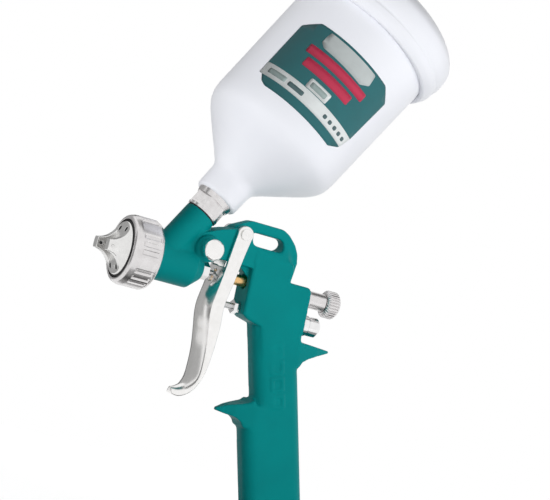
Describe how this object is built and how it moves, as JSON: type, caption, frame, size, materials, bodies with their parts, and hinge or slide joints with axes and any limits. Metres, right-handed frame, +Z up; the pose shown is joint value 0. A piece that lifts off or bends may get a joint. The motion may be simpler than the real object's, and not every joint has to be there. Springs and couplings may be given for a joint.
{
  "type": "hvlp spray gun",
  "caption": "Gravity-feed HVLP spray gun: level barrel with horned air cap, long curved trigger, swept handle with finger fins, and a tilted translucent paint cup with lid.",
  "frame": {"origin": "centre of the threaded air inlet's end face, under the swept handle", "axes": "-X the way the spray leaves, +X to the rear, -Y the gun's left side, +Z up with the barrel level"},
  "size_m": [0.1858, 0.1084, 0.3767],
  "materials": {
    "teal_paint": "satin",
    "satin_nickel": "satin",
    "bright_nickel": "polished",
    "bright_chrome": "polished",
    "polished_trigger": "polished",
    "steel": "satin",
    "brass": "satin",
    "seal": "matte",
    "white_plastic": "matte",
    "milky_plastic": "satin"
  },
  "bodies": {
    "gun": {"gun_body": "teal_paint", "fluid_nozzle": "steel", "nozzle_washer": "seal", "air_baffle": "white_plastic", "packing_nut": "bright_chrome", "packing_seal": "white_plastic", "needle_spring": "steel", "knob_guide": "satin_nickel", "air_valve_seat": "seal", "air_valve_nut": "bright_chrome", "air_valve_spring": "steel", "air_valve_cap": "bright_chrome", "pivot_stud": "satin_nickel", "pivot_screw": "satin_nickel", "fan_bushing": "bright_chrome", "air_inlet": "satin_nickel", "inlet_washer": "seal", "cup_adapter": "satin_nickel", "adapter_washer": "seal", "cup": "milky_plastic", "paint_filter": "white_plastic"},
    "ring": {"air_cap_ring": "satin_nickel"},
    "cap": {"air_cap": "bright_nickel"},
    "trigger": {"trigger": "polished_trigger"},
    "needle": {"fluid_needle": "steel", "needle_sleeve": "brass"},
    "valve": {"air_valve_stem": "steel"},
    "fluid_control": {"fluid_knob": "satin_nickel"},
    "fan_control": {"fan_knob": "satin_nickel"},
    "lid": {"lid": "milky_plastic", "lid_gasket": "seal"},
    "vent": {"vent_plug": "milky_plastic"}
  },
  "joints": [
    {"name": "ring_turn", "type": "hinge", "parent": "gun", "child": "ring", "pos_m": [-0.14288, 0, 0.16925], "axis": [1, 0, 0], "range_deg": [0, 360]},
    {"name": "air_cap_turn", "type": "hinge", "parent": "gun", "child": "cap", "pos_m": [-0.15088, 0, 0.16925], "axis": [1, 0, 0], "range_deg": [0, 90]},
    {"name": "trigger_pull", "type": "hinge", "parent": "gun", "child": "trigger", "pos_m": [-0.08238, 0, 0.19615], "axis": [0, -1, 0], "range_deg": [0, 12], "stiffness_Nm_per_rad": 3, "springref_deg": -8.59},
    {"name": "needle_slide", "type": "slide", "parent": "gun", "child": "needle", "axis": [1, 0, 0], "range_m": [0, 0.0068], "deforming": ["needle_spring"]},
    {"name": "air_valve_slide", "type": "slide", "parent": "gun", "child": "valve", "axis": [1, 0, 0], "range_m": [0, 0.0099], "deforming": ["air_valve_spring"]},
    {"name": "fluid_knob_turn", "type": "hinge", "parent": "gun", "child": "fluid_control", "pos_m": [-0.01288, 0, 0.16925], "axis": [1, 0, 0], "range_deg": [0, 720]},
    {"name": "fan_knob_turn", "type": "hinge", "parent": "gun", "child": "fan_control", "pos_m": [-0.10348, -0.018, 0.18224], "axis": [0, -1, 0], "range_deg": [0, 540]},
    {"name": "lid_lift", "type": "slide", "parent": "gun", "child": "lid", "axis": [0.5, 0, 0.866], "range_m": [0, 0.08]},
    {"name": "vent_turn", "type": "hinge", "parent": "lid", "child": "vent", "pos_m": [-0.02498, 0, 0.34678], "axis": [0.5, 0, 0.866], "range_deg": [0, 90]}
  ],
  "couplings": [
    {"joint": "needle_slide", "follows": "trigger_pull", "m_per_rad": 0.031},
    {"joint": "air_valve_slide", "follows": "trigger_pull", "m_per_rad": 0.0455}
  ]
}
